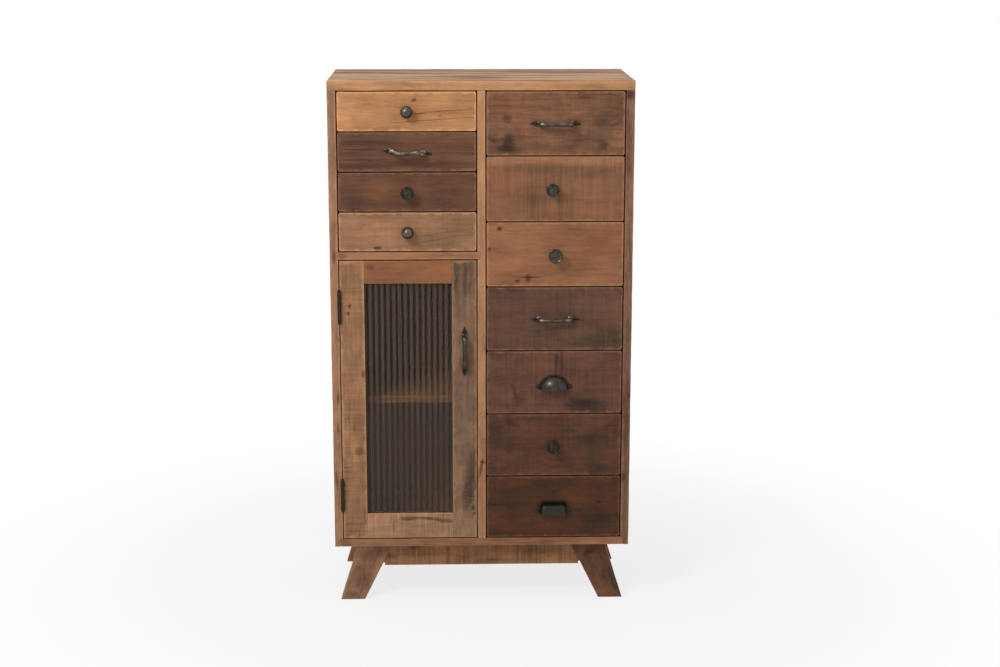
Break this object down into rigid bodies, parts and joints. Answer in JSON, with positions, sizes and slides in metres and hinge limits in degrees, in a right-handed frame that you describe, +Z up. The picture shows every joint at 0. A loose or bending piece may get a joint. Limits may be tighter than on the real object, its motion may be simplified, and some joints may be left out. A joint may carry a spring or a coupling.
{
  "type": "hutch",
  "caption": "Narrow free-standing hutch on splayed legs: drawers in two columns, a reeded-glass door over a shelf, and mixed antique iron knobs, bow handles and cup pulls.",
  "frame": {"origin": "middle of the overall box at floor level", "axes": "+Z up; the drawer fronts and the door face -Y; +X to the right as seen from the front"},
  "size_m": [0.7, 0.39, 1.25],
  "materials": {
    "case_pine": "oiled reclaimed pine, light orange-tan",
    "front_pine": "oiled reclaimed pine, mixed browns with saw marks",
    "door_pine": "oiled reclaimed pine, tan",
    "base_pine": "dark stained reclaimed pine",
    "inner_pine": "plain sawn pine",
    "box_pine": "planed pine, unfinished",
    "runner_beech": "planed beech, waxed",
    "antique_iron": "dull dark antique iron, worn lighter on the high spots",
    "screw_steel": "dull steel",
    "catch_plastic": "brown moulded plastic",
    "reeded_glass": "reeded clear glass"
  },
  "bodies": {
    "carcass": {"top_planks": "case_pine", "side_left": "case_pine", "side_right": "case_pine", "divider": "case_pine", "bottom_board": "case_pine", "door_head_rail": "case_pine", "back_boards": "inner_pine", "shelf": "inner_pine", "shelf_cleats": "inner_pine", "drawer_runners": "runner_beech", "carcass_screws": "screw_steel", "leg_front_left": "base_pine", "leg_front_right": "base_pine", "legs_rear": "base_pine", "apron_front": "base_pine", "base_rails": "base_pine", "hinge_frame_leaves": "antique_iron", "hinge_pins": "antique_iron", "door_catch": "catch_plastic"},
    "left_drawer_1": {"left_drawer_1_front": "front_pine", "left_drawer_1_box": "box_pine", "left_drawer_1_pull": "antique_iron"},
    "left_drawer_2": {"left_drawer_2_front": "front_pine", "left_drawer_2_box": "box_pine", "left_drawer_2_pull": "antique_iron"},
    "left_drawer_3": {"left_drawer_3_front": "front_pine", "left_drawer_3_box": "box_pine", "left_drawer_3_pull": "antique_iron"},
    "left_drawer_4": {"left_drawer_4_front": "front_pine", "left_drawer_4_box": "box_pine", "left_drawer_4_pull": "antique_iron"},
    "right_drawer_1": {"right_drawer_1_front": "front_pine", "right_drawer_1_box": "box_pine", "right_drawer_1_pull": "antique_iron"},
    "right_drawer_2": {"right_drawer_2_front": "front_pine", "right_drawer_2_box": "box_pine", "right_drawer_2_pull": "antique_iron"},
    "right_drawer_3": {"right_drawer_3_front": "front_pine", "right_drawer_3_box": "box_pine", "right_drawer_3_pull": "antique_iron"},
    "right_drawer_4": {"right_drawer_4_front": "front_pine", "right_drawer_4_box": "box_pine", "right_drawer_4_pull": "antique_iron"},
    "right_drawer_5": {"right_drawer_5_front": "front_pine", "right_drawer_5_box": "box_pine", "right_drawer_5_pull": "antique_iron"},
    "right_drawer_6": {"right_drawer_6_front": "front_pine", "right_drawer_6_box": "box_pine", "right_drawer_6_pull": "antique_iron"},
    "right_drawer_7": {"right_drawer_7_front": "front_pine", "right_drawer_7_box": "box_pine", "right_drawer_7_pull": "antique_iron"},
    "door": {"door_stile_hinge": "door_pine", "door_stile_latch": "door_pine", "door_rails": "door_pine", "door_glass": "reeded_glass", "glass_beads": "door_pine", "door_handle": "antique_iron", "hinge_door_leaves": "antique_iron", "catch_plate": "screw_steel"}
  },
  "joints": [
    {"name": "left_drawer_1_slide", "type": "slide", "parent": "carcass", "child": "left_drawer_1", "axis": [0, -1, 0], "range_m": [0, 0.24]},
    {"name": "left_drawer_2_slide", "type": "slide", "parent": "carcass", "child": "left_drawer_2", "axis": [0, -1, 0], "range_m": [0, 0.24]},
    {"name": "left_drawer_3_slide", "type": "slide", "parent": "carcass", "child": "left_drawer_3", "axis": [0, -1, 0], "range_m": [0, 0.24]},
    {"name": "left_drawer_4_slide", "type": "slide", "parent": "carcass", "child": "left_drawer_4", "axis": [0, -1, 0], "range_m": [0, 0.24]},
    {"name": "right_drawer_1_slide", "type": "slide", "parent": "carcass", "child": "right_drawer_1", "axis": [0, -1, 0], "range_m": [0, 0.24]},
    {"name": "right_drawer_2_slide", "type": "slide", "parent": "carcass", "child": "right_drawer_2", "axis": [0, -1, 0], "range_m": [0, 0.24]},
    {"name": "right_drawer_3_slide", "type": "slide", "parent": "carcass", "child": "right_drawer_3", "axis": [0, -1, 0], "range_m": [0, 0.24]},
    {"name": "right_drawer_4_slide", "type": "slide", "parent": "carcass", "child": "right_drawer_4", "axis": [0, -1, 0], "range_m": [0, 0.24]},
    {"name": "right_drawer_5_slide", "type": "slide", "parent": "carcass", "child": "right_drawer_5", "axis": [0, -1, 0], "range_m": [0, 0.24]},
    {"name": "right_drawer_6_slide", "type": "slide", "parent": "carcass", "child": "right_drawer_6", "axis": [0, -1, 0], "range_m": [0, 0.24]},
    {"name": "right_drawer_7_slide", "type": "slide", "parent": "carcass", "child": "right_drawer_7", "axis": [0, -1, 0], "range_m": [0, 0.24]},
    {"name": "door_hinge", "type": "hinge", "parent": "carcass", "child": "door", "pos_m": [-0.32925, -0.17, 0], "axis": [0, 0, -1], "range_deg": [0, 170]}
  ]
}
